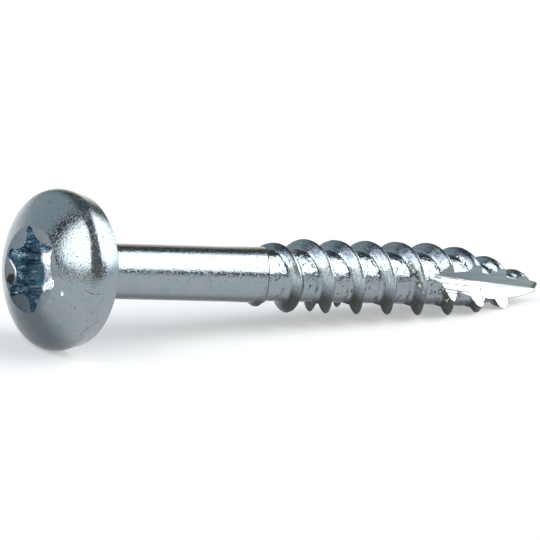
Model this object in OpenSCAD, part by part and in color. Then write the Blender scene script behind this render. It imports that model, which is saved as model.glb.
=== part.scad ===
// Wood screw with a pan head, a six-lobe drive, a smooth shank, a coarse
// right-hand thread and a cut point. One piece of cold-formed steel wire.
// Along the screw, x is measured from the bearing face under the head and
// grows towards the tip. Angles round the screw start at +Z and grow towards
// -Y, and the finished screw is then turned until its groove faces the floor.
// It lies on the rim of its head and on the two edges of that groove.

/* [Head] */
// Largest diameter of the head
head_d = 10.55; // [9.8:0.05:12]
// Distance that the side draws in from there to the bearing face
side_draw = 0.32; // [0.1:0.02:0.5]
// Height of the widest ring above the bearing face
rim_h = 1.38; // [1.3:0.02:2]
// Radius of the dome
dome_r = 7.5; // [7:0.25:10]
// Radius between the side of the head and the dome
shoulder_r = 1.15; // [0.6:0.05:1.2]
// Radius of the edge round the bearing face
seat_edge_r = 0.12; // [0.06:0.01:0.25]

/* [Drive recess] */
// Six-lobe drive, from lobe tip to lobe tip
drive_d = 4.5; // [4.2:0.05:4.8]
// Six-lobe drive, across two opposite ribs
drive_waist_d = 3.25; // [3.1:0.05:3.4]
// Radius of a lobe's tip
lobe_r = 0.37; // [0.32:0.01:0.42]
// Depth of the drive under the rim of the dish
drive_depth = 2.3; // [1.6:0.1:2.6]
// Distance that the flared mouth draws each lobe out
lobe_flare = 0.5; // [0.1:0.01:0.5]
// Distance that the flared mouth sets each rib back
rib_flare = 0.25; // [0.1:0.01:0.35]
// Depth of the flared mouth under the dish
mouth_depth = 0.45; // [0.2:0.05:0.8]
// Diameter of the shallow dish that the punch leaves
dish_d = 5.65; // [5.5:0.05:6]
// Depth of the dish
dish_depth = 0.25; // [0.1:0.01:0.4]
// Turn of the lobes about the screw
drive_turn = -7; // [-30:1:30]

/* [Shank] */
// Diameter of the smooth shank
shank_d = 3.65; // [3.55:0.05:4.2]
// Length of the smooth shank, along its top
shank_length = 15.6; // [12:0.1:17]
// Slant of the shank's end, which follows the start of the thread
shank_end_slant = 29; // [10:1:35]
// Amount by which the shank's end is thicker, all round
shank_swell = 0.04; // [0.01:0.01:0.08]
// Length at its end over which it thickens
swell_length = 4; // [2:0.5:8]
// Radius of the corner under the head
neck_r = 0.2; // [0.1:0.05:0.5]

/* [Thread] */
// Outer diameter of the full thread
thread_d = 4.95; // [4.6:0.05:5.6]
// Diameter of the core between the turns
core_d = 3.45; // [3.1:0.05:3.5]
// Distance from one turn to the next
pitch = 2.625; // [2.3:0.025:3]
// Width of a thread ridge where it meets the core
ridge_root_w = 1.25; // [0.9:0.05:1.4]
// Width of the flat on the crest
crest_w = 0.16; // [0.04:0.02:0.2]
// Distance by which each flank draws in up to its bend
bend_in = 0.17; // [0.1:0.01:0.25]
// Share of the ridge's height at which its flanks bend
bend_share = 0.5; // [0.4:0.01:0.6]
// Distance that the first turn climbs onto the smooth shank
climb = 1; // [0.8:0.05:1.6]
// Angle round the screw at which the first turn begins
start_angle = 135; // [0:5:355]

/* [Point] */
// Length from the bearing face to the tip
length = 39.2; // [36:0.1:50]
// Length over which the core narrows to the tip
point_length = 7; // [6:0.1:8]
// Length over which the crest narrows to the tip
crest_taper_length = 11; // [10:0.1:13]
// How late the crest narrows: 1 is a straight taper, and more is a fuller one
crest_fullness = 2.5; // [1.5:0.1:3]
// Diameter of the blunt tip
tip_d = 0.66; // [0.4:0.02:0.9]
// Distance that the tip lies below the screw's axis
tip_drop = 0.36; // [0:0.01:0.45]

/* [Cut in the point] */
// Slope of the cut's flat face towards the axis, in degrees
cut_ramp = 10.25; // [9:0.25:14]
// Rise of the cut's corner towards the head, in degrees
cut_rise = 3.95; // [0:0.05:6]
// Distance that the flat face reaches past the axis at the tip
cut_past_axis = 0.22; // [0:0.01:0.25]
// Distance of the cut's corner below the axis at the tip
cut_below_axis = 0.42; // [0.2:0.01:0.5]
// Angle of the cut's upper wall above the horizontal
cut_wall_angle = 46.5; // [30:0.5:60]
// Angle by which the flat face leans out at its lower edge
cut_face_lean = 9; // [0:0.5:20]

/* [Groove along the thread] */
// Angle round the screw of the groove's depth
groove_angle = 191; // [185:1:200]
// Distance of the groove's near wall from there
groove_near = 1.25; // [0.9:0.05:1.4]
// Distance of its far wall from there, where the groove begins
groove_far_start = 0.3; // [0.1:0.05:0.8]
// Distance of its far wall from there, where the groove is widest
groove_far = 1.6; // [1:0.05:1.8]
// Length over which the groove widens
groove_widens = 6; // [3:0.5:8]
// Depth of the groove in the core
groove_in_core = 0.1; // [0:0.01:0.2]
// Where the groove begins, counted from the bearing face
groove_from = 19; // [17.5:0.1:19.5]
// Height that the ridges gain at the groove's edges
burr_h = 0.14; // [0:0.01:0.2]
// Distance that the ridges lean towards the tip at the near edge
burr_lean = 0.2; // [0:0.02:0.3]
// Angle over which a ridge rises to such an edge
burr_span = 26; // [16:1:40]

/* [Hidden] */
$fn = 96;

// Flat steps in a turn of the thread and in the short arcs
steps = 30;
arc_steps = 6;
// Overlap of bodies that are joined, and overshoot of cuts
joint = 0.3;
over = 1;

head_r = head_d / 2;
seat_r = head_r - side_draw;
shank_r = shank_d / 2;
core_r = core_d / 2;
thread_r = thread_d / 2;
tip_r = tip_d / 2;

function arc(centre, r, from, to, n = arc_steps) =
    [for (i = [0:n]) centre + r * dir(from + (to - from) * i / n)];
function dir(angle) = [cos(angle), sin(angle)];
function clamp(v, low = 0, high = 1) = min(max(v, low), high);

// Head: a side that widens from the bearing face, a shoulder, and a dome.
// Its outline is [radius, x], with the dome's centre on the axis. The side
// runs from the edge of the bearing face and touches the shoulder's circle,
// which touches the dome.
shoulder = [head_r - shoulder_r, -rim_h];
dome_x = sqrt(pow(dome_r - shoulder_r, 2) - shoulder[0] * shoulder[0]) - rim_h;
crown_h = dome_r - dome_x;
dome_angle = atan2(shoulder[1] - dome_x, shoulder[0]);
to_shoulder = shoulder - [seat_r, 0];
draft = 90 + atan2(to_shoulder[1], to_shoulder[0]) + asin(shoulder_r / norm(to_shoulder));
seat_edge = [seat_r - seat_edge_r * (1 - sin(draft)) / cos(draft), -seat_edge_r];
function dome_at(r) = dome_x - sqrt(dome_r * dome_r - r * r);

// Drive recess
dish_x = dome_at(dish_d / 2);
drive_floor_x = dish_x + drive_depth;

// A lobe arc meets a rib arc without a corner, which fixes the rib's radius.
function rib_r(tip, waist, lobe) =
    let (a = tip - lobe)
    (a * a + waist * waist - 2 * a * waist * cos(30) - lobe * lobe)
    / (2 * (a * cos(30) + lobe - waist));
function six_lobe(tip, waist, lobe) =
    let (a = tip - lobe)
    let (rib = rib_r(tip, waist, lobe))
    let (b = waist + rib)
    let (meet = atan2(b * sin(30), b * cos(30) - a))
    [for (k = [0:5]) each concat(
        arc(a * dir(60 * k), lobe, 60 * k - meet, 60 * k + meet),
        inner(arc(b * dir(60 * k + 30), rib, 60 * k + 180 + meet, 60 * k + 240 - meet)))];
function inner(points) = [for (i = [1:len(points) - 2]) points[i]];

// Thread: x by the angle run since its start, and its share of the full height
thread_from = shank_length - climb;
function ridge_x(run) = thread_from + pitch * run / 360;
run_in = [[0, 0], [35, 0.5], [230, 0.6], [405, 1]];

// The groove's walls, and the angles at which they meet a crest of radius r
function far_wall(x) =
    groove_far_start + (groove_far - groove_far_start) * clamp((x - groove_from) / groove_widens);
function near_edge(r) = groove_angle - asin(groove_near / r);
function far_edge(x, r) = groove_angle + asin(far_wall(x) / r);

// The groove throws up the ridges along both of its edges.
function near_to(t, edge) = clamp(1 - abs((t - edge + 540) % 360 - 180) / burr_span);
function has_burr(x) = x > groove_from && x < cone_from;
function burr(x, t) =
    has_burr(x)
    ? let (near = near_to(t, near_edge(thread_r)))
      [burr_lean * near, burr_h * max(near, near_to(t, far_edge(x, thread_r)))]
    : [0, 0];

// The core narrows as a straight cone whose apex lies past the blunt tip. Past
// the tip, where all is cut off, a thin rod goes on. The ridge fades out just
// before the tip.
cone_from = length - point_length;
core_slope = (core_r - tip_r) / point_length;
apex_x = length + tip_r / core_slope;
function core_at(x) = x < cone_from ? core_r : max((apex_x - x) * core_slope, tip_r / 2);
function crest_at(x) =
    let (near_tip = 1 - clamp((length - x) / crest_taper_length))
    thread_r - (thread_r - tip_r) * pow(near_tip, crest_fullness);
function fade_at(x) = clamp((length - tip_r - x) / tip_d);
function ridge_height(x, run) = (crest_at(x) - core_at(x)) * fade_at(x) * lookup(run, run_in);

// The tip hangs a little under the axis, reached over most of the cone.
drop_from = length - 1.2 * point_length;
drop_to = length - 0.4 * point_length;
function drop(x) = tip_drop * clamp((x - drop_from) / (drop_to - drop_from));

// Across one pitch the surface has six corners: foot, bend, crest, crest, bend, foot.
function corner_x(k) =
    let (half = [ridge_root_w / 2, ridge_root_w / 2 - bend_in, crest_w / 2][k < 3 ? k : 5 - k])
    k < 3 ? -half : half;
corner_share = [0, bend_share, 1, 1, bend_share, 0];
corners = len(corner_share);

function surface_point(run, k) =
    let (t = start_angle + run)
    let (thrown = burr(ridge_x(run), t))
    let (x = ridge_x(run) + corner_x(k) + thrown[0])
    let (r = core_at(x) + corner_share[k] * (ridge_height(x, run) + thrown[1]))
    [x, -r * sin(t), r * cos(t) - drop(x)];

// The surface is one strip, a pitch wide, that winds round the core. It starts
// half a turn early, inside the shank, and ends past the tip.
rows = ceil(((length + joint - ridge_root_w / 2 - thread_from) / pitch + 1.5) * steps);
function run_of(i) = i * 360 / steps - 180;
function at(i, k) = k < corners ? i * corners + k : (i + steps) * corners;
strip_points = [for (i = [0:rows]) for (k = [0:corners - 1]) surface_point(run_of(i), k)];
start_centre = len(strip_points);
end_centre = start_centre + 1;
end_points = [[ridge_x(-180), 0, 0], [ridge_x(run_of(rows)), 0, -tip_drop]];
strip_faces = [
    for (i = [0:rows - 1]) for (k = [0:corners - 1])
        if (k < corners - 1 || i + 1 + steps <= rows)
            each [[at(i, k), at(i, k + 1), at(i + 1, k + 1)], [at(i, k), at(i + 1, k + 1), at(i + 1, k)]]
];
start_faces = concat(
    [for (i = [0:steps - 1]) [at(i, 0), at(i + 1, 0), start_centre]],
    [for (k = [0:corners - 1]) [at(0, k + 1), at(0, k), start_centre]]);
end_faces = concat(
    [for (i = [rows - steps:rows - 1]) [at(i + 1, corners - 1), at(i, corners - 1), end_centre]],
    [for (k = [0:corners - 2]) [at(rows, k), at(rows, k + 1), end_centre]],
    [[at(rows - steps, corners - 1), at(rows, 0), end_centre]]);

groove_floor = core_r - groove_in_core;

// Rest: the screw leans until the head and the groove's edges touch the floor.
// On each turn an edge meets the crest at the angle t, and the lowest such
// corner of the whole thread sets the lean.
low_angle = (near_edge(thread_r) + far_edge(length, thread_r)) / 2;
function corner_lean(n, t) =
    let (x = ridge_x(t - start_angle + 360 * n))
    let (crest = core_at(x) + (crest_at(x) - core_at(x)) * fade_at(x) + (has_burr(x) ? burr_h : 0))
    let (a = shoulder[0] - crest * cos(t - low_angle) - drop(x))
    let (b = x - shoulder[1])
    atan2(a, b) + asin(shoulder_r / norm([a, b]));
low_turns = floor((length - tip_d - thread_from) / pitch);
lean = min([for (n = [2:low_turns]) each [
    corner_lean(n, near_edge(thread_r)), corner_lean(n, far_edge(length, thread_r))]]);
lift = shoulder[0] * cos(lean) + shoulder[1] * sin(lean) + shoulder_r;
back_x = dish_x * cos(lean) - dish_d / 2 * sin(lean);
front_x = length * cos(lean) - tip_drop * sin(lean);

module along_x() {
    rotate([0, 90, 0])
        children();
}

module headed_shank() {
    end = shank_length + shank_r * tan(shank_end_slant) + joint;
    difference() {
        along_x()
            rotate_extrude()
                polygon(concat(
                    [[0, end], [shank_r + shank_swell, end], [shank_r, shank_length - swell_length]],
                    arc([shank_r + neck_r, neck_r], neck_r, 180, 270, 3),
                    arc(seat_edge, seat_edge_r, 90, draft, 3),
                    arc(shoulder, shoulder_r, draft, dome_angle, 2 * arc_steps),
                    inner(arc([0, dome_x], dome_r, dome_angle, -90, 3 * arc_steps)),
                    [[0, -crown_h]]));
        translate([shank_length, 0, 0])
            rotate([0, 0, -shank_end_slant])
                translate([0, -shank_d, -shank_d])
                    cube(2 * shank_d);
    }
}

module lobed_pocket(from_x, to_x, at_lobes, at_ribs) {
    translate([0, 0, from_x])
        linear_extrude(to_x - from_x)
            rotate(drive_turn)
                polygon(six_lobe(drive_d / 2 + at_lobes, drive_waist_d / 2 + at_ribs, lobe_r));
}

module drive_recess() {
    along_x() {
        translate([0, 0, -crown_h - over])
            cylinder(h = dish_x + crown_h + over, r = dish_d / 2);
        translate([0, 0, dish_x])
            cylinder(h = dish_depth, r1 = dish_d / 2, r2 = drive_waist_d / 2);
        lobed_pocket(dish_x, dish_x + dish_depth + mouth_depth, lobe_flare, rib_flare);
        lobed_pocket(dish_x, drive_floor_x, 0, 0);
    }
}

module thread() {
    polyhedron(
        points = concat(strip_points, end_points),
        faces = concat(strip_faces, start_faces, end_faces));
}

module point_cut() {
    back = length - groove_from;
    side = 2 * thread_r;
    translate([length, cut_past_axis, -cut_below_axis])
        rotate([0, cut_rise, 0])
            rotate([90, 0, cut_ramp - 90])
                translate([0, 0, -over])
                    linear_extrude(back)
                        polygon([
                            [0, 0], [side * tan(cut_face_lean), -side], [2 * side, -side],
                            [2 * side, side * tan(cut_wall_angle)], [side, side * tan(cut_wall_angle)]]);
}

module long_groove() {
    rotate([groove_angle, 0, 0])
        translate([groove_from, 0, groove_floor])
            linear_extrude(thread_d)
                polygon([
                    [0, groove_near], [0, -groove_far_start],
                    [groove_widens, -groove_far], [length, -groove_far], [length, groove_near]]);
}

module blunt_tip() {
    translate([length, -thread_r, -thread_r])
        cube(thread_d);
}

module screw() {
    color([0.75, 0.78, 0.81])
        translate([-(back_x + front_x) / 2, 0, lift])
            rotate([0, lean, 0])
                rotate([180 - low_angle, 0, 0]) {
                    difference() {
                        headed_shank();
                        drive_recess();
                    }
                    difference() {
                        thread();
                        point_cut();
                        long_groove();
                        blunt_tip();
                    }
                }
}

screw();
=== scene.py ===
import math

import bmesh
import bpy
from mathutils import Matrix, Vector, noise


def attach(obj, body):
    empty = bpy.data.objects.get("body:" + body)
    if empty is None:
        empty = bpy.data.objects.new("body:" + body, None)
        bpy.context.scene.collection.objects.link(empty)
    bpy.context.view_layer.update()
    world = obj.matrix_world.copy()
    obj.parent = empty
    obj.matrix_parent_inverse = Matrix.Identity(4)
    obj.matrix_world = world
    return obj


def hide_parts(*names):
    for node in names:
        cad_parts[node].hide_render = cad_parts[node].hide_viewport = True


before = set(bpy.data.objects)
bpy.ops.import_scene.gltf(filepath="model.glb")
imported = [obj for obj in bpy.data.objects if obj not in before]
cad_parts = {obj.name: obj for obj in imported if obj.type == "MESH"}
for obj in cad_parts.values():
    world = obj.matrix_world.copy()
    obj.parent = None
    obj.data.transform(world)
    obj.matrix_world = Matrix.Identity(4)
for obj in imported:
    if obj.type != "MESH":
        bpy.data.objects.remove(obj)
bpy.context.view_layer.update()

MM, MICRON = 0.001, 0.000001

# Sizes in mm, as in the part's source. The axis is x, with the bearing face at 0 and the tip at LENGTH.
HEAD_D, SIDE_DRAW, RIM_H, DOME_R, SHOULDER_R, SEAT_EDGE_R = 10.55, 0.32, 1.38, 7.5, 1.15, 0.12
DRIVE_D, DRIVE_WAIST_D, LOBE_R, DRIVE_DEPTH, DRIVE_TURN = 4.5, 3.25, 0.37, 2.3, -7
LOBE_FLARE, RIB_FLARE, DISH_D, DISH_DEPTH = 0.5, 0.25, 5.65, 0.25
SHANK_D, SHANK_LENGTH, SHANK_END_SLANT, SHANK_SWELL, SWELL_LENGTH, NECK_R = 3.65, 15.6, 29, 0.04, 4, 0.2
THREAD_D, CORE_D, PITCH, RIDGE_ROOT_W, CLIMB, START_ANGLE = 4.95, 3.45, 2.625, 1.25, 1, 135
LENGTH, POINT_LENGTH, CREST_TAPER, CREST_FULLNESS, TIP_D, TIP_DROP = 39.2, 7, 11, 2.5, 0.66, 0.36
CUT_RAMP, CUT_RISE, CUT_PAST_AXIS, CUT_BELOW_AXIS, CUT_WALL_ANGLE, CUT_FACE_LEAN = 10.25, 3.95, 0.22, 0.42, 46.5, 9
GROOVE_ANGLE, GROOVE_NEAR, GROOVE_FAR_START, GROOVE_FAR, GROOVE_WIDENS = 191, 1.25, 0.3, 1.6, 6
GROOVE_IN_CORE, GROOVE_FROM, BURR_H, BURR_LEAN, BURR_SPAN = 0.1, 19, 0.14, 0.2, 26

HEAD_R, SHANK_R, CORE_R, THREAD_R, TIP_R = HEAD_D / 2, SHANK_D / 2, CORE_D / 2, THREAD_D / 2, TIP_D / 2
DISH_R, WAIST_R, SEAT_R = DISH_D / 2, DRIVE_WAIST_D / 2, HEAD_R - SIDE_DRAW

# Sizes that only this script has, in mm.
DISH_EDGE_R = 0.12                              # rounded edge between the dome and the dish
RIM_RINGS = ((-1.4, 0.09), (-0.3, 0.09), (-0.01, 0.085), (0.015, 0.045), (0.045, 0.018), (0.09, 0.004))
FLARE_FROM, FLARE_TO, FLARE_CURVE = 0.12, 1.25, 1.6     # the recess's mouth, under the dish's floor
FLOOR_INSET, FLOOR_CONE = 0.1, 0.35             # the recess's floor: rounded edge, and how far its middle is deeper
FOOT = 0.74                                     # half the width of a ridge with its rounded feet
ROUND_FROM, ROUND_OVER, ROUND_W = 29.5, 2.5, 0.72       # where the ridge's section turns round, and its half width
RIDGE_END, RIDGE_FADE = LENGTH - 1.0, 0.6       # where the ridge ends, and the length over which it sinks
RUN_OUT_FROM, RUN_OUT_STRAIGHT = 10.6, 12       # where the cutter turns outward, from the tip back
CUT_CORNER_R = 0.09
NOSE = ((0, 0), (0.12, 0.006), (0.24, 0.03), (0.34, 0.075), (0.43, 0.15), (0.50, 0.25), (0.56, 0.39), (0.61, 0.58),
        (0.66, 0.80))                           # the tip's rounding: radius, and distance back from the tip
NOSE_DROP = 0.12                                # the rounding's centre under the core's own

# Fineness of the mesh: points round the head and shank, and steps in a turn of the thread.
SEGMENTS = 160
STEPS = 120

rad, deg = math.radians, math.degrees


def clamp(v, low=0.0, high=1.0):
    return min(max(v, low), high)


def smooth(v):
    v = clamp(v)
    return v * v * (3 - 2 * v)


def lookup(v, table):
    """The value at v in a table of (v, value), with straight lines between its rows."""
    if v <= table[0][0]:
        return table[0][1]
    for (a, fa), (b, fb) in zip(table, table[1:]):
        if v <= b:
            return fa + (fb - fa) * (v - a) / (b - a)
    return table[-1][1]


def arc(cx, cy, r, a0, a1, n):
    return [(cx + r * math.cos(rad(a0 + (a1 - a0) * i / n)), cy + r * math.sin(rad(a0 + (a1 - a0) * i / n)))
            for i in range(n + 1)]


def rotation(degrees, axis):
    return Matrix.Rotation(rad(degrees), 4, axis)


def wobble(x, y, z, scale, seed):
    return noise.noise(Vector((x * scale + seed, y * scale - 2 * seed, z * scale + 3 * seed)))


# The head's outline: its shoulder and dome touch, and its drafted side touches shoulder and seat edge.
SHOULDER = (HEAD_R - SHOULDER_R, -RIM_H)
DOME_X = math.sqrt((DOME_R - SHOULDER_R) ** 2 - SHOULDER[0] ** 2) - RIM_H
CROWN_H = DOME_R - DOME_X
DOME_ANGLE = deg(math.atan2(SHOULDER[1] - DOME_X, SHOULDER[0]))
TO_SHOULDER = (SHOULDER[0] - SEAT_R, SHOULDER[1])
DRAFT = 90 + deg(math.atan2(TO_SHOULDER[1], TO_SHOULDER[0])) + deg(math.asin(SHOULDER_R / math.hypot(*TO_SHOULDER)))
SEAT_EDGE = (SEAT_R - SEAT_EDGE_R * (1 - math.sin(rad(DRAFT))) / math.cos(rad(DRAFT)), -SEAT_EDGE_R)
DISH_X = DOME_X - math.sqrt(DOME_R ** 2 - DISH_R * DISH_R)
DISH_FLOOR_X = DISH_X + DISH_DEPTH
DRIVE_FLOOR_X = DISH_X + DRIVE_DEPTH

# The thread's run along the axis.
THREAD_FROM = SHANK_LENGTH - CLIMB
CONE_FROM = LENGTH - POINT_LENGTH
CORE_SLOPE = (CORE_R - TIP_R) / POINT_LENGTH
APEX_X = LENGTH + TIP_R / CORE_SLOPE
RUN_IN = [(0, 0), (35, 0.5), (230, 0.6), (405, 1)]      # degrees from the start, and share of the ridge's height
DROP_FROM, DROP_TO = LENGTH - 1.2 * POINT_LENGTH, LENGTH - 0.4 * POINT_LENGTH
BURR_TO = CONE_FROM + 1.5


def ridge_x(run):
    return THREAD_FROM + PITCH * run / 360


def far_wall(x):
    return GROOVE_FAR_START + (GROOVE_FAR - GROOVE_FAR_START) * clamp((x - GROOVE_FROM) / GROOVE_WIDENS)


def near_edge(r):
    return GROOVE_ANGLE - deg(math.asin(GROOVE_NEAR / r))


def far_edge(x, r):
    return GROOVE_ANGLE + deg(math.asin(far_wall(x) / r))


def near_to(t, edge, span):
    """1 at the edge's angle, down to 0 at span degrees from it."""
    return clamp(1 - abs((t - edge + 540) % 360 - 180) / span)


def core_at(x):
    return CORE_R if x < CONE_FROM else max((APEX_X - x) * CORE_SLOPE, TIP_R / 2)


def crest_at(x):
    near_tip = 1 - clamp((LENGTH - x) / CREST_TAPER)
    return THREAD_R - (THREAD_R - TIP_R) * near_tip ** CREST_FULLNESS


def fade_at(x):
    return clamp((LENGTH - TIP_R - x) / TIP_D)


def drop(x):
    return TIP_DROP * clamp((x - DROP_FROM) / (DROP_TO - DROP_FROM))


# Rest pose, with the lean, the lift and the ends that the part's source works out.
LOW_ANGLE = (near_edge(THREAD_R) + far_edge(LENGTH, THREAD_R)) / 2
LEAN, LIFT, BACK_X, FRONT_X = 5.51003, 5.12343, -3.75498, 38.9843
PLACE = (Matrix.Scale(MM, 4) @ Matrix.Translation((-(BACK_X + FRONT_X) / 2, 0, LIFT))
         @ rotation(LEAN, "Y") @ rotation(180 - LOW_ANGLE, "X"))


def new_object(name, points, faces):
    mesh = bpy.data.meshes.new(name)
    mesh.from_pydata(points, [], faces)
    mesh.validate()
    ob = bpy.data.objects.new(name, mesh)
    bpy.context.scene.collection.objects.link(ob)
    return ob


def outward(ob):
    """Turns the faces of a closed mesh outward."""
    bm = bmesh.new()
    bm.from_mesh(ob.data)
    bmesh.ops.recalc_face_normals(bm, faces=bm.faces)
    if bm.calc_volume(signed=True) < 0:
        bmesh.ops.reverse_faces(bm, faces=bm.faces)
    bm.to_mesh(ob.data)
    bm.free()
    return ob


def revolve(name, outline, segments):
    """A solid of revolution. The outline is (radius, x), and its two end points are on the axis."""
    points, faces = [(outline[0][1], 0, 0)], []
    ring = outline[1:-1]
    for r, x in ring:
        for s in range(segments):
            a = 2 * math.pi * s / segments
            points.append((x, r * math.sin(a), r * math.cos(a)))
    points.append((outline[-1][1], 0, 0))
    last = len(points) - 1

    def at(i, s):
        return 1 + i * segments + s % segments
    for s in range(segments):
        faces.append((0, at(0, s + 1), at(0, s)))
        for i in range(len(ring) - 1):
            faces.append((at(i, s), at(i, s + 1), at(i + 1, s + 1), at(i + 1, s)))
        faces.append((last, at(len(ring) - 1, s), at(len(ring) - 1, s + 1)))
    return new_object(name, points, faces)


def loft(name, rings):
    """A closed solid through rings of equal point count, each a list of (x, y, z), capped with fans."""
    n = len(rings[0])
    points, faces = [p for ring in rings for p in ring], []
    for i in range(len(rings) - 1):
        for s in range(n):
            t = (s + 1) % n
            faces.append((i * n + s, i * n + t, (i + 1) * n + t, (i + 1) * n + s))
    for i in (0, len(rings) - 1):
        points.append(tuple(sum(p[k] for p in rings[i]) / n for k in range(3)))
        for s in range(n):
            t = (s + 1) % n
            f = (len(points) - 1, i * n + t, i * n + s)
            faces.append(f if i == 0 else f[::-1])
    return new_object(name, points, faces)


def prism(name, outline, x0, x1, matrix, n=1, shift=lambda z, b: 0.0):
    """A solid whose outline (a, b) is drawn along z from x0 to x1, shifted by shift(z, b) along a, then placed."""
    k = len(outline)
    stations = [x0 + (x1 - x0) * i / n for i in range(n + 1)]
    points = [(a + shift(z, b), b, z) for z in stations for a, b in outline]
    faces = [tuple(range(k)), tuple(range(n * k, n * k + k))[::-1]]
    for i in range(n):
        for s in range(k):
            t = (s + 1) % k
            faces.append((i * k + s, (i + 1) * k + s, (i + 1) * k + t, i * k + t))
    return outward(new_object(name, [tuple(matrix @ Vector(p)) for p in points], faces))


def combine(ob, other, how):
    m = ob.modifiers.new("cut", "BOOLEAN")
    m.operation, m.object, m.solver = how, other, "EXACT"
    dg = bpy.context.evaluated_depsgraph_get()
    mesh = bpy.data.meshes.new_from_object(ob.evaluated_get(dg))
    ob.modifiers.clear()
    ob.data = mesh
    bpy.data.objects.remove(other)
    return ob


def slanted_end():
    """All that lies past the plane in which the shank ends."""
    s = SHANK_D
    box = [(x, y, z) for x in (0, 2 * s) for y in (0, 2 * s) for z in (0, 2 * s)]
    m = (Matrix.Translation((SHANK_LENGTH, 0, 0)) @ rotation(-SHANK_END_SLANT, "Z")
         @ Matrix.Translation((0, -s, -s)))
    faces = [(0, 1, 3, 2), (4, 6, 7, 5), (0, 4, 5, 1), (2, 3, 7, 6), (0, 2, 6, 4), (1, 5, 7, 3)]
    return outward(new_object("end", [tuple(m @ Vector(p)) for p in box], faces))


def headed_shank():
    spare, rows, seat_rows = 0.3, 12, 6
    end = SHANK_LENGTH + SHANK_R * math.tan(rad(SHANK_END_SLANT)) + spare
    outline = [(0, end), (SHANK_R + SHANK_SWELL, end)]
    for i in range(rows + 1):
        outline.append((SHANK_R + SHANK_SWELL * smooth(1 - i / rows), SHANK_LENGTH - SWELL_LENGTH * i / rows))
    for i in range(1, rows):
        outline.append((SHANK_R, (SHANK_LENGTH - SWELL_LENGTH) * (1 - i / rows) + NECK_R * i / rows))
    outline += arc(SHANK_R + NECK_R, NECK_R, NECK_R, 180, 270, 8)
    for i in range(1, seat_rows):
        outline.append((SHANK_R + NECK_R + (SEAT_EDGE[0] - SHANK_R - NECK_R) * i / seat_rows, 0))
    outline += arc(*SEAT_EDGE, SEAT_EDGE_R, 90, DRAFT, 6)
    outline += arc(*SHOULDER, SHOULDER_R, DRAFT, DOME_ANGLE, 16)
    outline += arc(0, DOME_X, DOME_R, DOME_ANGLE, -90, 30)[1:-1]
    outline.append((0, -CROWN_H))
    return combine(outward(revolve("head", outline, SEGMENTS)), slanted_end(), "DIFFERENCE")


def dish():
    edge = DISH_R + DISH_EDGE_R
    outline = [(0, DISH_X - 1.2), (edge, DISH_X - 1.2), (edge, DISH_X - 0.2)]
    outline += arc(edge, DISH_X + 0.04, DISH_EDGE_R, 270, 210, 5)
    outline += [(DISH_R - 0.02, DISH_X + 0.02), (DISH_R - 0.2, DISH_X + 0.07),
                (WAIST_R + 0.3, DISH_X + DISH_DEPTH * 0.85), (WAIST_R, DISH_FLOOR_X),
                (0.3, DISH_FLOOR_X + 0.02), (0, DISH_FLOOR_X + 0.02)]
    return outward(revolve("dish", outline, SEGMENTS))


def six_lobe(tip, waist, lobe, n=8):
    """Six lobes and six ribs whose arcs meet without a corner. The rib's radius follows from that."""
    cos30, sin30 = math.cos(rad(30)), math.sin(rad(30))
    a = tip - lobe
    rib = (a * a + waist * waist - 2 * a * waist * cos30 - lobe * lobe) / (2 * (a * cos30 + lobe - waist))
    b = waist + rib
    meet = deg(math.atan2(b * sin30, b * cos30 - a))
    out = []
    for k in range(6):
        c, d = rad(60 * k), rad(60 * k + 30)
        out += arc(a * math.cos(c), a * math.sin(c), lobe, 60 * k - meet, 60 * k + meet, n)
        out += arc(b * math.cos(d), b * math.sin(d), rib, 60 * k + 180 + meet, 60 * k + 240 - meet, n)[1:-1]
    return out


def under_rim(r):
    """The dish's depth at a radius, as a share of its whole depth."""
    return clamp((DISH_R - r) / (DISH_R - WAIST_R))


def drive_recess():
    turn = rad(DRIVE_TURN)

    def ring(x, at_lobes, at_ribs, share=1.0):
        points = six_lobe(DRIVE_D / 2 + at_lobes, WAIST_R + at_ribs, LOBE_R)
        c, s = math.cos(turn) * share, math.sin(turn) * share
        # (u, v) becomes (x, v, -u), as the source's rotate([0, 90, 0]) does
        return [(x, u * s + v * c, -(u * c - v * s)) for u, v in points]

    def rim_ring(depth, more):
        """A ring at a depth under the dish's own surface, with the full flare and a little more."""
        return [(DISH_X + DISH_DEPTH * under_rim(math.hypot(y, z)) + depth, y, z)
                for _, y, z in ring(0, LOBE_FLARE + more, RIB_FLARE + more)]
    rings = [rim_ring(depth, more) for depth, more in RIM_RINGS]
    top, end = DISH_FLOOR_X + FLARE_FROM, DISH_FLOOR_X + FLARE_TO
    for i in range(9):
        left = (1 - i / 8) ** FLARE_CURVE
        rings.append(ring(top + (end - top) * i / 8, LOBE_FLARE * left, RIB_FLARE * left))
    # the straight pocket with a slight draw, and the rounded edge of its floor
    for i in range(1, 4):
        rings.append(ring(end + (DRIVE_FLOOR_X - 0.06 - end) * i / 3, -0.012 * i, -0.012 * i))
    rings.append(ring(DRIVE_FLOOR_X - 0.02, -0.06, -0.06))
    for share in (1.0, 0.9, 0.75, 0.6, 0.45, 0.3, 0.15):
        rings.append(ring(DRIVE_FLOOR_X + FLOOR_CONE * (1 - share), -FLOOR_INSET, -FLOOR_INSET, share))
    return outward(loft("recess", rings))


def ridge_profile():
    """(x from the ridge's middle, share of its height) over one pitch, from foot to foot and on to the next."""
    side = [(-FOOT, 0.0), (-0.67, 0.012), (-0.62, 0.04), (-0.575, 0.10), (-0.53, 0.19), (-0.47, 0.31), (-0.40, 0.45),
            (-0.33, 0.58), (-0.26, 0.70), (-0.19, 0.81), (-0.13, 0.90), (-0.085, 0.96), (-0.05, 0.99), (-0.02, 1.0)]
    ridge = side + [(-x, s) for x, s in reversed(side)]
    span = PITCH - 2 * FOOT
    return ridge + [(FOOT + span * i / 7, 0.0) for i in range(1, 7)]


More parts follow.
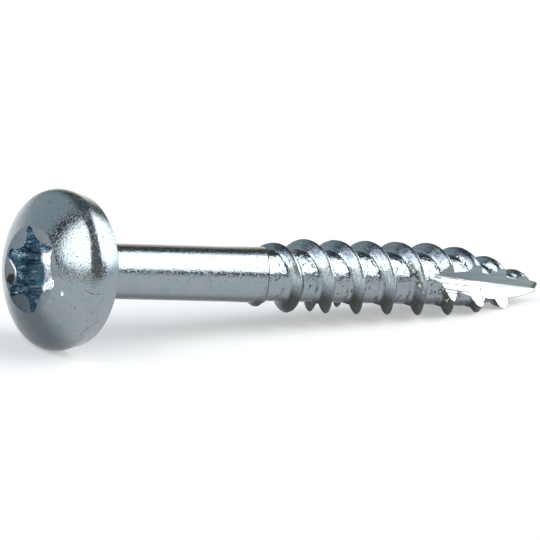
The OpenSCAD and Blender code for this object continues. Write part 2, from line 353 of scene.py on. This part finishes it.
PROFILE = ridge_profile()


def thread_point(run, dx, share):
    """The point run degrees along the thread, dx from the ridge's middle and at a share of its height."""
    t = START_ANGLE + run
    x0 = ridge_x(run)
    lean_x, up = 0.0, 0.0
    if GROOVE_FROM < x0 < BURR_TO:
        # both edges of the groove are thrown up, and the near one leans
        near = near_to(t, near_edge(THREAD_R), BURR_SPAN)
        far = near_to(t, far_edge(x0, THREAD_R), BURR_SPAN)
        fade = smooth((x0 - GROOVE_FROM) / 1.0) * smooth((BURR_TO - x0) / 1.5)
        jag = 0.75 + 0.5 * wobble(math.floor(x0 / PITCH) * 7.3, t * 0.06, 0, 1.0, 4.1)
        lean_x = BURR_LEAN * near * fade * share
        up = BURR_H * max(near, far) ** 0.7 * fade * clamp(jag, 0.92, 1.0)
    if share > 0.001:
        # the section turns from a sharp ridge to a round one at the groove's edges and towards the tip
        full = max(up / BURR_H, smooth((x0 - ROUND_FROM) / ROUND_OVER))
        dx += (math.copysign(ROUND_W * math.sqrt(max(1 - share, 0.0008)), dx) - dx) * full
    x = x0 + dx + lean_x
    height = (crest_at(x) - core_at(x)) * fade_at(x) * lookup(run, RUN_IN) * smooth((RIDGE_END - x0) / RIDGE_FADE)
    rough = 0.016 * wobble(x, t * 0.045, share, 2.4, 1.7) + 0.008 * wobble(x, t * 0.11, share, 7.0, 9.2)
    r = core_at(x) + share * (height + up) + rough * (0.35 if share < 0.02 else 1.0) * clamp((LENGTH - x) / 3, 0.2)
    if share > 0.9:
        # the crest is worn down here and there
        r -= 0.012 * (1 + wobble(run * 0.05, x, 0, 1.0, 6.6)) * (1 if height > 0.3 else 0)
    return (x, -r * math.sin(rad(t)), r * math.cos(rad(t)) - drop(x))


def thread():
    """One strip, a pitch wide, that winds round the core and is closed by a fan at each end."""
    n = len(PROFILE)
    rows = math.ceil(((LENGTH + 0.3 - RIDGE_ROOT_W / 2 - THREAD_FROM) / PITCH + 1.5) * STEPS)
    points = [thread_point(i * 360 / STEPS - 180, dx, s) for i in range(rows + 1) for dx, s in PROFILE]
    faces = []

    def at(i, k):
        return i * n + k if k < n else (i + STEPS) * n
    for i in range(rows):
        for k in range(n):
            if k < n - 1 or i + 1 + STEPS <= rows:
                faces.append((at(i, k), at(i, k + 1), at(i + 1, k + 1), at(i + 1, k)))
    start, end = len(points), len(points) + 1
    points.append((ridge_x(-180), 0, 0))
    points.append((ridge_x(rows * 360 / STEPS - 180), 0, -TIP_DROP))
    for i in range(STEPS):
        faces.append((at(i, 0), at(i + 1, 0), start))
    for k in range(n):
        faces.append((at(0, k + 1), at(0, k), start))
    for i in range(rows - STEPS, rows):
        faces.append((at(i + 1, n - 1), at(i, n - 1), end))
    for k in range(n - 1):
        faces.append((at(rows, k), at(rows, k + 1), end))
    faces.append((at(rows - STEPS, n - 1), at(rows, 0), end))
    return outward(new_object("thread", points, faces))


CUT = (Matrix.Translation((LENGTH, CUT_PAST_AXIS, -CUT_BELOW_AXIS)) @ rotation(CUT_RISE, "Y")
       @ rotation(CUT_RAMP - 90, "Z") @ rotation(90, "X"))
CUT_INV, CUT_WALL = CUT.inverted(), math.tan(rad(CUT_WALL_ANGLE))


def cut_shift(z, b):
    """The flat turns outward where the cutter runs out, and leans out more under the last ridges it reaches."""
    if z < RUN_OUT_STRAIGHT:
        out = 0.36 * max(z - RUN_OUT_FROM, 0) ** 2
    else:
        out = 0.706 + (z - RUN_OUT_STRAIGHT)
    return out + 0.2 * smooth((z - 4.4) / 2.0) * clamp(-b, 0, 5)


def point_cut():
    side, f = 2 * THREAD_R, CUT_CORNER_R
    lean = side * math.tan(rad(CUT_FACE_LEAN))
    outside = [(lean, -side), (2 * side, -side), (2 * side, side * CUT_WALL), (side, side * CUT_WALL)]
    # the inner corner is rounded a little, as a milling cutter leaves it
    corner = [(f, f * CUT_WALL), (f * 0.4, f * 0.25), (f * 0.12, -f * 0.3), (0, -f)]
    return prism("cut", outside + corner, -1, LENGTH - GROOVE_FROM - 1, CUT, 80, cut_shift)


def long_groove():
    m = rotation(GROOVE_ANGLE, "X") @ Matrix.Translation((GROOVE_FROM, 0, CORE_R - GROOVE_IN_CORE))
    outline = [(0, GROOVE_NEAR), (0, -GROOVE_FAR_START), (GROOVE_WIDENS, -GROOVE_FAR), (LENGTH, -GROOVE_FAR),
               (LENGTH, GROOVE_NEAR)]
    return prism("groove", outline, 0, THREAD_D, m)


def rounded_tip():
    """All that lies outside the tip's rounded nose."""
    wide, past = 3, LENGTH + 6
    outline = [(r, LENGTH - back) for r, back in NOSE]
    outline += [(wide, outline[-1][1]), (wide, past), (0, past)]
    ob = revolve("tip", outline, 48)
    ob.data.transform(Matrix.Translation((0, 0, -TIP_DROP - NOSE_DROP)))
    return outward(ob)


def build_screw():
    head = combine(combine(headed_shank(), dish(), "DIFFERENCE"), drive_recess(), "DIFFERENCE")
    body = thread()
    for cutter in (long_groove(), point_cut(), rounded_tip()):
        body = combine(body, cutter, "DIFFERENCE")
    ob = combine(head, body, "UNION")
    ob.name = ob.data.name = "screw_plated"
    bm = bmesh.new()
    bm.from_mesh(ob.data)
    bmesh.ops.remove_doubles(bm, verts=bm.verts, dist=2e-4)
    bmesh.ops.triangulate(bm, faces=[f for f in bm.faces if len(f.verts) > 4])
    bm.to_mesh(ob.data)
    bm.free()
    return ob


# The five kinds of surface, in the order of the material slots.
SKIN, RECESS_WALL, CUT_FLAT, CUT_SIDE, RECESS_FLOOR = range(5)


def kind_of(centre, normal):
    x, r = centre.x, math.hypot(centre.y, centre.z)
    if DRIVE_FLOOR_X - 0.35 < x < DRIVE_FLOOR_X + 1 and r < DRIVE_D / 2 and abs(normal.x) > 0.7:
        return RECESS_FLOOR
    if x < DRIVE_FLOOR_X + 1 and r < DISH_R - 0.05 and (x > DISH_X + 0.02 or r < 1.5):
        return RECESS_WALL if x > DISH_X + DISH_DEPTH * under_rim(r) + 0.03 else SKIN
    if x > GROOVE_FROM + 1:
        a, b, c = CUT_INV @ centre
        a -= cut_shift(c, b)
        if b < 0.12 and abs(a + b * math.tan(rad(CUT_FACE_LEAN))) < 0.02:
            return CUT_FLAT
        if a > 0 and abs(b - a * CUT_WALL) < 0.08:
            return CUT_SIDE
    return SKIN


def wound(p):
    """Where a point lies across one pitch, as a circle, and its angle round the screw from -1 to 1."""
    turn = math.atan2(-p.y, p.z)
    across = 2 * math.pi * (p.x - THREAD_FROM) / PITCH - turn + rad(START_ANGLE)
    return math.cos(across), math.sin(across), turn / math.pi


screw = build_screw()
KINDS = [kind_of(p.center, p.normal) for p in screw.data.polygons]
# The materials take their coordinates from these, in mm and before the screw is laid down.
for name, rule in (("along", lambda p: p), ("milling", lambda p: CUT_INV @ p), ("wound", wound)):
    layer = screw.data.attributes.new(name, "FLOAT_VECTOR", "POINT")
    layer.data.foreach_set("vector", [c for v in screw.data.vertices for c in rule(v.co)])
screw.data.transform(PLACE)
screw.data.shade_smooth()
screw.data.set_sharp_from_angle(angle=rad(32))


class Nodes:
    """Adds nodes and links to one node tree. A value is a socket, a number or a tuple."""

    def __init__(self, tree):
        self.tree = tree

    def node(self, kind, **values):
        node = self.tree.nodes.new(kind)
        for key, value in values.items():
            setattr(node, key, value)
        return node

    def put(self, socket, value):
        if isinstance(value, bpy.types.NodeSocket):
            self.tree.links.new(value, socket)
        else:
            socket.default_value = value

    def put_all(self, node, **values):
        for key, value in values.items():
            self.put(node.inputs[key.replace("_", " ")], value)

    def place(self, name):
        return self.node("ShaderNodeAttribute", attribute_name=name).outputs["Vector"]

    def math(self, op, a, b=None, clamp=False):
        node = self.node("ShaderNodeMath", operation=op, use_clamp=clamp)
        self.put(node.inputs[0], a)
        if b is not None:
            self.put(node.inputs[1], b)
        return node.outputs[0]

    def times(self, first, *others):
        for other in others:
            first = self.math("MULTIPLY", first, other)
        return first

    def plus(self, first, *others):
        for other in others:
            first = self.math("ADD", first, other)
        return first

    def minus(self, a, b):
        return self.math("SUBTRACT", a, b)

    def radius(self, y, z):
        return self.math("SQRT", self.plus(self.times(y, y), self.times(z, z)))

    def vec(self, op, a, b=None):
        node = self.node("ShaderNodeVectorMath", operation=op)
        self.put(node.inputs[0], a)
        if b is not None:
            self.put(node.inputs[1], b)
        return node.outputs["Value" if op in ("DOT_PRODUCT", "LENGTH") else "Vector"]

    def scaled(self, vector, factors):
        return self.vec("MULTIPLY", vector, factors)

    def apart(self, vector):
        node = self.node("ShaderNodeSeparateXYZ")
        self.put(node.inputs[0], vector)
        return node.outputs

    def together(self, x, y, z):
        node = self.node("ShaderNodeCombineXYZ")
        self.put_all(node, X=x, Y=y, Z=z)
        return node.outputs[0]

    def far_from(self, at, point):
        return self.vec("LENGTH", self.vec("SUBTRACT", at, point))

    def line(self, at, a, b, width):
        """1 on the segment from a to b, 0 farther from it than the width."""
        a, b = Vector(a), Vector(b)
        rel, along = self.vec("SUBTRACT", at, tuple(a)), b - a
        t = self.math("MULTIPLY", self.vec("DOT_PRODUCT", rel, tuple(along)), 1 / along.length_squared, clamp=True)
        step = self.node("ShaderNodeVectorMath", operation="SCALE")
        self.put(step.inputs[0], tuple(along))
        self.put(step.inputs["Scale"], t)
        off = self.vec("SUBTRACT", rel, step.outputs["Vector"])
        return self.ramp(self.vec("LENGTH", off), width, width * 0.3)

    def ramp(self, value, low, high, to_low=0.0, to_high=1.0):
        node = self.node("ShaderNodeMapRange", interpolation_type="SMOOTHSTEP")
        self.put_all(node, Value=value, From_Min=low, From_Max=high, To_Min=to_low, To_Max=to_high)
        return node.outputs["Result"]

    def noise(self, vector, scale, detail=2.0, rough=0.5):
        node = self.node("ShaderNodeTexNoise")
        self.put_all(node, Vector=vector, Scale=scale, Detail=detail, Roughness=rough)
        return node.outputs["Fac"]

    def mix(self, factor, a, b):
        node = self.node("ShaderNodeMix", data_type="RGBA")
        self.put(node.inputs[0], factor)
        for socket, value in ((node.inputs[6], a), (node.inputs[7], b)):
            self.put(socket, value if isinstance(value, bpy.types.NodeSocket) else (*value, 1.0))
        return node.outputs[2]

    def bump(self, height, distance, under=None):
        node = self.node("ShaderNodeBump")
        self.put_all(node, Height=height, Distance=distance, Strength=1.0)
        if under is not None:
            self.put(node.inputs["Normal"], under)
        return node.outputs[0]


def metal(name):
    mat = bpy.data.materials.new(name)
    mat.use_nodes = True
    shader = mat.node_tree.nodes["Principled BSDF"]
    shader.inputs["Metallic"].default_value = 1.0
    return mat, Nodes(mat.node_tree), shader.inputs


# Marks of wear, and lines and spots of painted highlight, by their place on the screw in mm: segments, or single
# points.
BRIGHT_RIM = (((-3.42, 2.37, 0.55), (-3.30, 1.90, -0.12)), ((-3.30, 1.90, -0.12), (-3.24, 1.84, -0.74)))
SCRATCHES = (((-2.41, -4.50, -1.27), (-2.07, -4.82, -1.47)), ((-2.07, -4.82, -1.47), (-1.60, -5.03, -1.50)),
             ((-1.235, -3.99, -3.43), (-0.87, -4.07, -3.21)), ((-1.69, -3.17, -4.16), (-1.54, -3.80, -3.64)))
GRAZED_STRIPS = (((26.60, -1.66, 1.02), (26.86, -2.02, 0.32)), ((26.86, -2.02, 0.32), (27.20, -2.07, -0.35)),
                 ((27.20, -2.07, -0.35), (27.73, -2.06, -1.01)), ((29.49, -1.58, -0.68), (29.78, -1.67, -1.04)),
                 ((29.78, -1.67, -1.04), (30.17, -1.65, -1.40)))
GLINT_SPOTS = (((-2.82, 0.15, -2.02), (-2.78, 0.02, -2.04), 0.24), ((-2.60, 1.60, -0.55), (-2.40, 1.76, -0.78), 0.17))
STAIN_AT = (-3.40, 2.26, -0.68)
KNOCK_AT = (-3.182, -3.161, -1.519)
DOWNWARD = (0, 0.2756, -0.9613)                 # the floor's direction, seen from the screw before it is laid down


def rim_highlight(n, at, colour):
    """A bright line painted along the rim of two lobes: a painted highlight."""
    for a, b in BRIGHT_RIM:
        colour = n.mix(n.times(n.line(at, a, b, 0.10), 0.9), colour, (0.95, 0.93, 0.91))
    return colour


def zinc_plate():
    mat, n, out = metal("zinc_plate")
    at = n.place("along")
    x, y, z = n.apart(at)
    across, across_too, turn = n.apart(n.place("wound"))
    r = n.radius(y, z)
    threaded = n.ramp(x, 14.2, 14.8)
    flank = n.times(threaded, n.ramp(r, 1.80, 1.98))
    core = n.times(threaded, n.ramp(r, 1.86, 1.76))
    head = n.ramp(x, 0.3, 0.0)
    not_head = n.minus(1.0, head)

    cloud = n.noise(at, 0.9, 3.0, 0.6)
    grain = n.noise(at, 9.0, 3.0, 0.65)
    speck = n.noise(at, 14.0, 2.0, 0.6)
    pepper = n.ramp(n.noise(at, 7.5, 2.0, 0.6), 0.50, 0.66)
    spangle = n.noise(at, 4.2, 2.0, 0.55)
    mottle = n.noise(at, 3.4, 2.0, 0.55)
    hammer = n.noise(at, 2.2, 2.0, 0.5)
    streaks = n.noise(n.scaled(at, (0.35, 5.0, 5.0)), 1.6, 3.0, 0.6)
    # streaks and flecks that follow the ridge as it winds
    rolled = n.noise(n.together(across, across_too, n.plus(n.times(x, 0.4), n.times(r, 4.0))), 2.2, 3.0, 0.6)
    fleck = n.together(n.times(across, 2.0), n.times(across_too, 2.0), n.plus(n.times(x, 2.6), n.times(r, 8.0)))
    fleck = n.noise(fleck, 1.6, 3.0, 0.65)
    nicks = n.times(n.ramp(n.noise(n.scaled(at, (2.0, 1.0, 1.0)), 2.3, 2.0, 0.6), 0.64, 0.69), core)
    pits = n.ramp(n.noise(at, 5.2, 1.0, 0.4), 0.72, 0.77)
    hairs = n.noise(n.scaled(at, (9.0, 1.1, 3.0)), 1.0, 2.0, 0.5)
    hairs = n.times(n.ramp(n.math("ABSOLUTE", n.minus(hairs, 0.5)), 0.008, 0.0), head, n.ramp(cloud, 0.48, 0.60))

    # plain zinc, with streaks on the ridge's flanks
    colour = n.mix(n.ramp(cloud, 0.35, 0.65), (0.262, 0.312, 0.345), (0.292, 0.322, 0.330))
    colour = n.mix(n.times(flank, n.ramp(rolled, 0.35, 0.65, 0.2, 0.9)), colour, (0.200, 0.240, 0.270))
    # round the ridge, by its side towards the light or away: painted shade in dark blue on top, a painted highlight
    # midway, and brown painted shade underneath up to the groove
    top_shade = n.times(n.ramp(turn, 0.00, 0.12), n.ramp(turn, 0.36, 0.22), flank, n.ramp(spangle, 0.35, 0.6, 0.40, 0.85))
    colour = n.mix(top_shade, colour, (0.068, 0.080, 0.122))
    low_shade = n.times(n.ramp(turn, 0.58, 0.74), n.ramp(turn, 1.0, 0.97), flank, n.ramp(rolled, 0.3, 0.7, 0.85, 0.98))
    colour = n.mix(low_shade, colour, (0.060, 0.060, 0.053))
    bright = n.times(n.ramp(turn, 0.28, 0.40), n.ramp(turn, 0.62, 0.50), flank, n.ramp(rolled, 0.4, 0.62, 0.30, 0.75))
    colour = n.mix(bright, colour, (0.64, 0.73, 0.73))
    # bright flecks: painted glints in the lit band round the ridge, and flecks at random on all the flanks
    sparkle = n.times(n.ramp(turn, 0.22, 0.36, 0.25, 0.7), n.ramp(turn, 0.54, 0.44), flank,
                      n.ramp(fleck, 0.54, 0.64, 0.0, 0.75))
    sparkle = n.math("MAXIMUM", sparkle, n.times(flank, n.ramp(speck, 0.64, 0.72, 0.0, 0.8)))
    colour = n.mix(n.times(sparkle, n.minus(1.0, low_shade)), colour, (0.75, 0.80, 0.84))
    # the zinc's spangle, pits, hairlines on the head and nicks in the core
    colour = n.mix(n.times(n.ramp(spangle, 0.42, 0.30), 0.35), colour, (0.15, 0.175, 0.19))
    colour = n.mix(n.times(pits, 0.7), colour, (0.06, 0.065, 0.07))
    colour = n.mix(n.times(hairs, 0.7), colour, (0.08, 0.08, 0.07))
    colour = n.mix(n.times(nicks, 0.85), colour, (0.05, 0.055, 0.05))
    # painted shade: a dark line in the step at the shank's end
    slant = rad(SHANK_END_SLANT)
    past_end = n.vec("DOT_PRODUCT", at, (math.cos(slant), -math.sin(slant), 0))
    past_end = n.minus(past_end, SHANK_LENGTH * math.cos(slant))
    step_shade = n.times(n.ramp(n.math("ABSOLUTE", n.minus(past_end, 0.03)), 0.075, 0.03), n.ramp(r, 1.98, 1.90))
    colour = n.mix(n.times(step_shade, 0.8), colour, (0.05, 0.055, 0.06))
    for a, b in SCRATCHES:
        colour = n.mix(n.times(n.line(at, a, b, 0.05), 0.75), colour, (0.05, 0.055, 0.05))
    # the cutter has grazed the crests of the two ridges before the flat: rough strips, brown with light flecks
    for a, b in GRAZED_STRIPS:
        strip = n.line(at, a, b, 0.34)
        colour = n.mix(n.times(strip, n.ramp(mottle, 0.38, 0.46, 0.3, 0.9)), colour, (0.070, 0.066, 0.054))
        colour = n.mix(n.times(strip, n.ramp(mottle, 0.58, 0.62, 0.0, 0.7)), colour, (0.70, 0.74, 0.74))
    # painted shade in the dish and on the underside, and brown on the tip's nose
    dish_shade = n.times(n.ramp(r, 2.86, 2.80), n.ramp(x, -2.7, -2.9))
    colour = n.mix(n.times(dish_shade, 0.75), colour, (0.14, 0.17, 0.19))
    # the side that faces the floor is darkened: painted shade
    down = n.math("DIVIDE", n.vec("DOT_PRODUCT", at, DOWNWARD), r)
    down = n.plus(down, n.times(not_head, 0.09))
    under = n.ramp(down, 0.58, 0.90, 0.0, n.minus(0.88, n.times(head, 0.26)))
    colour = n.mix(n.times(under, n.ramp(r, 1.0, 1.6)), colour, (0.072, 0.090, 0.104))
    nose = n.ramp(x, LENGTH - 2.3, LENGTH - 1.2)
    colour = n.mix(n.times(nose, n.ramp(spangle, 0.3, 0.6, 0.5, 0.9)), colour, (0.105, 0.098, 0.080))
    stain = n.ramp(n.plus(n.far_from(at, STAIN_AT), n.times(spangle, 0.35)), 0.62, 0.46)
    colour = n.mix(n.times(stain, 0.95), colour, (0.030, 0.026, 0.028))
    # a dent at the knock, in relief, whose bright colour is a painted glint
    knock_and_glint = n.far_from(at, KNOCK_AT)
    colour = n.mix(n.ramp(knock_and_glint, 0.15, 0.09), colour, (0.85, 0.88, 0.90))
    n.put(out["Base Color"], rim_highlight(n, at, colour))

    rough = n.plus(n.ramp(cloud, 0.3, 0.7, 0.07, 0.12), n.times(flank, 0.14), n.times(n.plus(nicks, low_shade), 0.22))
    n.put(out["Roughness"], rough)

    relief = n.bump(grain, n.plus(8 * MICRON, n.times(flank, 9 * MICRON)))
    relief = n.bump(pepper, n.times(pepper, n.minus(9 * MICRON, n.times(threaded, 2 * MICRON))), relief)
    relief = n.bump(spangle, n.minus(9 * MICRON, n.times(head, 5 * MICRON)), relief)
    relief = n.bump(hammer, n.times(core, n.ramp(x, 28.0, 35.0, 90 * MICRON, 20 * MICRON)), relief)
    relief = n.bump(rolled, n.times(flank, 8 * MICRON), relief)
    relief = n.bump(streaks, n.times(not_head, 3 * MICRON), relief)
    marks = n.plus(n.times(nicks, 2.0), pits, n.times(hairs, 0.5), n.ramp(knock_and_glint, 0.19, 0.02, 0.0, 4.0))
    n.put(out["Normal"], n.bump(n.minus(1.0, marks), 12 * MICRON, relief))
    return mat


def recess_wall():
    mat, n, out = metal("recess_wall")
    at = n.place("along")
    flutes = n.noise(n.scaled(at, (0.55, 3.6, 3.6)), 1.0, 2.0, 0.5)
    glint_specks = n.noise(n.scaled(at, (2.0, 4.2, 4.2)), 1.0, 2.0, 0.5)
    grain = n.noise(at, 7.0, 3.0, 0.6)
    cloud = n.noise(at, 1.6, 2.0, 0.5)
    colour = n.mix(n.ramp(cloud, 0.35, 0.65), (0.24, 0.36, 0.45), (0.36, 0.50, 0.58))
    # bright specks painted on the walls: painted glints
    colour = n.mix(n.ramp(glint_specks, 0.60, 0.66, 0.0, 0.95), colour, (0.92, 0.96, 0.98))
    # bright spots painted on the walls: painted glints
    for a, b, width in GLINT_SPOTS:
        colour = n.mix(n.line(at, a, b, width), colour, (0.97, 0.98, 0.98))
    n.put(out["Base Color"], rim_highlight(n, at, colour))
    n.put(out["Roughness"], n.ramp(grain, 0.3, 0.7, 0.10, 0.20))
    n.put(out["Normal"], n.bump(flutes, 220 * MICRON, n.bump(grain, 10 * MICRON)))
    return mat


def recess_floor():
    """The punch leaves fine slanted ledges on the floor: all its facets lean the same way."""
    mat, n, out = metal("recess_floor")
    at = n.place("along")
    grain = n.noise(at, 6.0, 3.0, 0.65)
    # painted shade: patches on the floor's lower part are darker
    low = n.ramp(n.apart(at)[2], 0.55, -0.2)
    patches = n.times(low, n.ramp(grain, 0.46, 0.56))
    n.put(out["Base Color"], n.mix(n.times(patches, 0.8), (0.95, 0.97, 0.98), (0.36, 0.42, 0.48)))
    n.put(out["Roughness"], n.ramp(grain, 0.3, 0.7, 0.22, 0.34))
    ledges = n.plus(n.vec("DOT_PRODUCT", at, (0, 0.666, -0.216)), n.times(patches, 0.06))
    n.put(out["Normal"], n.bump(ledges, 1000 * MICRON, n.bump(grain, 12 * MICRON)))
    return mat


def cut_face(name, dark, light, line_tone, rough, depth, nose_brown, dark_rim):
    """A milled face: fine lines along the cutter's path, which show most along the middle of the cut."""
    mat, n, out = metal(name)
    at = n.place("milling")
    back = n.apart(at)[2]                       # distance back from the tip
    lines = n.noise(n.scaled(at, (7.5, 7.5, 0.22)), 1.0, 3.0, 0.6)
    broad = n.noise(n.scaled(at, (3.0, 3.0, 0.35)), 1.0, 3.0, 0.6)
    grain = n.noise(at, 8.0, 2.0, 0.5)
    colour = n.mix(n.ramp(broad, 0.3, 0.7), dark, light)
    reach = n.times(n.ramp(back, 4.5, 8.0), n.ramp(back, 12.0, 10.5))
    colour = n.mix(n.times(n.ramp(lines, 0.53, 0.46), n.plus(0.08, n.times(reach, 0.85))), colour, line_tone)
    # the last strips, on the ridges that the cutter only grazed, are rough and brown
    grazed = n.times(n.ramp(back, 10.9, 11.4), n.ramp(grain, 0.25, 0.6, 0.6, 1.0))
    colour = n.mix(grazed, colour, (0.17, 0.165, 0.14))
    colour = n.mix(n.ramp(back, 0.75, 0.3, 0.0, nose_brown), colour, (0.075, 0.065, 0.045))
    if dark_rim:
        # a thin dark line along the flat's edge near the tip
        x, y, z = n.apart(n.vec("ADD", n.place("along"), (0, 0, TIP_DROP)))
        inside = n.minus(n.times(n.minus(APEX_X, x), CORE_SLOPE), n.radius(y, z))
        rim = n.math("MAXIMUM", n.ramp(inside, 0.11, 0.05), n.ramp(back, 0.14, 0.07))
        rim = n.times(rim, n.ramp(x, LENGTH - 3.4, LENGTH - 2.8))
        colour = n.mix(n.times(rim, 0.9), colour, (0.11, 0.11, 0.105))
    n.put(out["Base Color"], colour)
    n.put(out["Roughness"], n.ramp(grain, 0.3, 0.7, rough - 0.05, rough + 0.05))
    fine = n.bump(grain, n.ramp(back, 10.8, 11.3, 4 * MICRON, 30 * MICRON))
    n.put(out["Normal"], n.bump(lines, depth, fine))
    return mat


# In the order of the kinds of surface.
SLOTS = [zinc_plate(),
         recess_wall(),
         # the flat and the wall are one milled metal in lit and shaded copies: the flat's light tones are a painted
         # highlight, the wall's dark tones painted shade
         cut_face("cut_flat", (0.66, 0.69, 0.71), (0.86, 0.87, 0.87), (0.045, 0.06, 0.075),
                  rough=0.30, depth=12 * MICRON, nose_brown=0.0, dark_rim=True),
         cut_face("cut_wall", (0.225, 0.275, 0.28), (0.285, 0.335, 0.34), (0.20, 0.24, 0.25),
                  rough=0.38, depth=3 * MICRON, nose_brown=0.85, dark_rim=False),
         recess_floor()]
for slot in SLOTS:
    screw.data.materials.append(slot)
for poly, kind in zip(screw.data.polygons, KINDS):
    poly.material_index = kind

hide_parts("screw")
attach(screw, "root")


def pale_floor():
    """A pale sheet that gives part of its own light, as a light table does, so that its shadow is faint."""
    half = 12
    ob = new_object("floor", [(-half, -half, 0), (half, -half, 0), (half, half, 0), (-half, half, 0)], [(0, 1, 2, 3)])
    mat = bpy.data.materials.new("floor_paper")
    mat.use_nodes = True
    shader = mat.node_tree.nodes["Principled BSDF"].inputs
    shader["Base Color"].default_value = (0.55, 0.553, 0.556, 1)
    shader["Roughness"].default_value = 0.9
    shader["Specular IOR Level"].default_value = 0.0
    shader["Emission Color"].default_value = (1.0, 1.0, 1.0, 1)
    shader["Emission Strength"].default_value = 0.38
    ob.data.materials.append(mat)
    return ob


floor = pale_floor()


def direction(azimuth, elevation):
    a, e = rad(azimuth), rad(elevation)
    return Vector((math.cos(a) * math.cos(e), math.sin(a) * math.cos(e), math.sin(e)))


# The studio's two light panels and the dark surround of each, by the azimuth and elevation of their corners.
SIDE_PANEL = [(-72, 28), (-58, 60), (8, 62), (22, 24), (-22, 3)]
SIDE_SURROUND = [(-92, 22), (-76, 68), (10, 70), (30, 22), (-22, -2)]
END_PANEL = [(-195, 24), (-197, 44), (-188, 62), (-152, 62), (-150, 14), (-172, 10), (-182, 12)]
END_SURROUND = [(-216, 20), (-219, 48), (-196, 74), (-146, 74), (-143, 12), (-172, 3), (-191, 5)]
# Broad soft patches of wall: azimuth, elevation, inner and outer angle, colour.
WALL = (0.170, 0.160, 0.150)
PATCHES = [(80, 45, 30, 95, (0.150, 0.190, 0.220)),
           (-111, 40, 15, 42, (0.27, 0.265, 0.26)),
           (-45, 5, 10, 42, (0.085, 0.110, 0.175)),
           (126, 15, 25, 60, (0.60, 0.69, 0.73)),
           (45, 22, 10, 34, (0.095, 0.095, 0.085)),
           (57, 6, 6, 21, (0.90, 0.90, 0.74))]
TABLE, SURROUND, PANEL_LIGHT = (0.80, 0.84, 0.86), (0.09, 0.095, 0.10), (4.2, 4.3, 4.35)


def studio():
    """A plain studio seen all round: two large soft panels, dim walls, and a pale far end and table."""
    world = bpy.data.worlds.new("studio")
    bpy.context.scene.world = world
    world.use_nodes = True
    n = Nodes(world.node_tree)
    shader = world.node_tree.nodes["Background"].inputs
    d = n.node("ShaderNodeTexCoord").outputs["Generated"]

    def panel(corners, soft):
        value = 1.0
        points = [direction(*c) for c in corners]
        for p, q in zip(points, points[1:] + points[:1]):
            inward = tuple(q.cross(p).normalized())
            value = n.times(value, n.ramp(n.vec("DOT_PRODUCT", d, inward), -soft, soft))
        return value

    colour = WALL
    for azimuth, elevation, inner, outer, tone in PATCHES:
        towards = n.vec("DOT_PRODUCT", d, tuple(direction(azimuth, elevation)))
        colour = n.mix(n.ramp(towards, math.cos(rad(outer)), math.cos(rad(inner))), colour, tone)
    height = n.vec("DOT_PRODUCT", d, (0, 0, 1))
    colour = n.mix(n.ramp(height, 0.115, 0.085), colour, TABLE)
    dark = n.math("ADD", n.times(panel(SIDE_SURROUND, 0.06), 0.9), panel(END_SURROUND, 0.06), clamp=True)
    colour = n.mix(dark, colour, SURROUND)
    white = n.math("ADD", panel(SIDE_PANEL, 0.10), panel(END_PANEL, 0.09), clamp=True)
    n.put(shader["Color"], n.mix(white, colour, PANEL_LIGHT))
    shader["Strength"].default_value = 1.0


studio()
bpy.context.scene.view_settings.view_transform = "Standard"

# The camera as fitted to the photo, in metres.
CAMERA_AT = (-0.271862, -0.349699, 0.130548)
CAMERA_RIGHT, CAMERA_UP = Vector((0.80584, -0.58062, 0.11619)), Vector((0.07152, 0.29023, 0.95428))
CAMERA_BACK = Vector((-0.5878, -0.76069, 0.27541))

lens = bpy.data.cameras.new("camera")
lens.sensor_width, lens.lens = 36, 462
lens.clip_start, lens.clip_end = 0.01, 50
camera = bpy.data.objects.new("camera", lens)
bpy.context.scene.collection.objects.link(camera)
view = Matrix((CAMERA_RIGHT, CAMERA_UP, CAMERA_BACK)).transposed().to_4x4()
view.translation = Vector(CAMERA_AT)
camera.matrix_world = view
bpy.context.scene.camera = camera
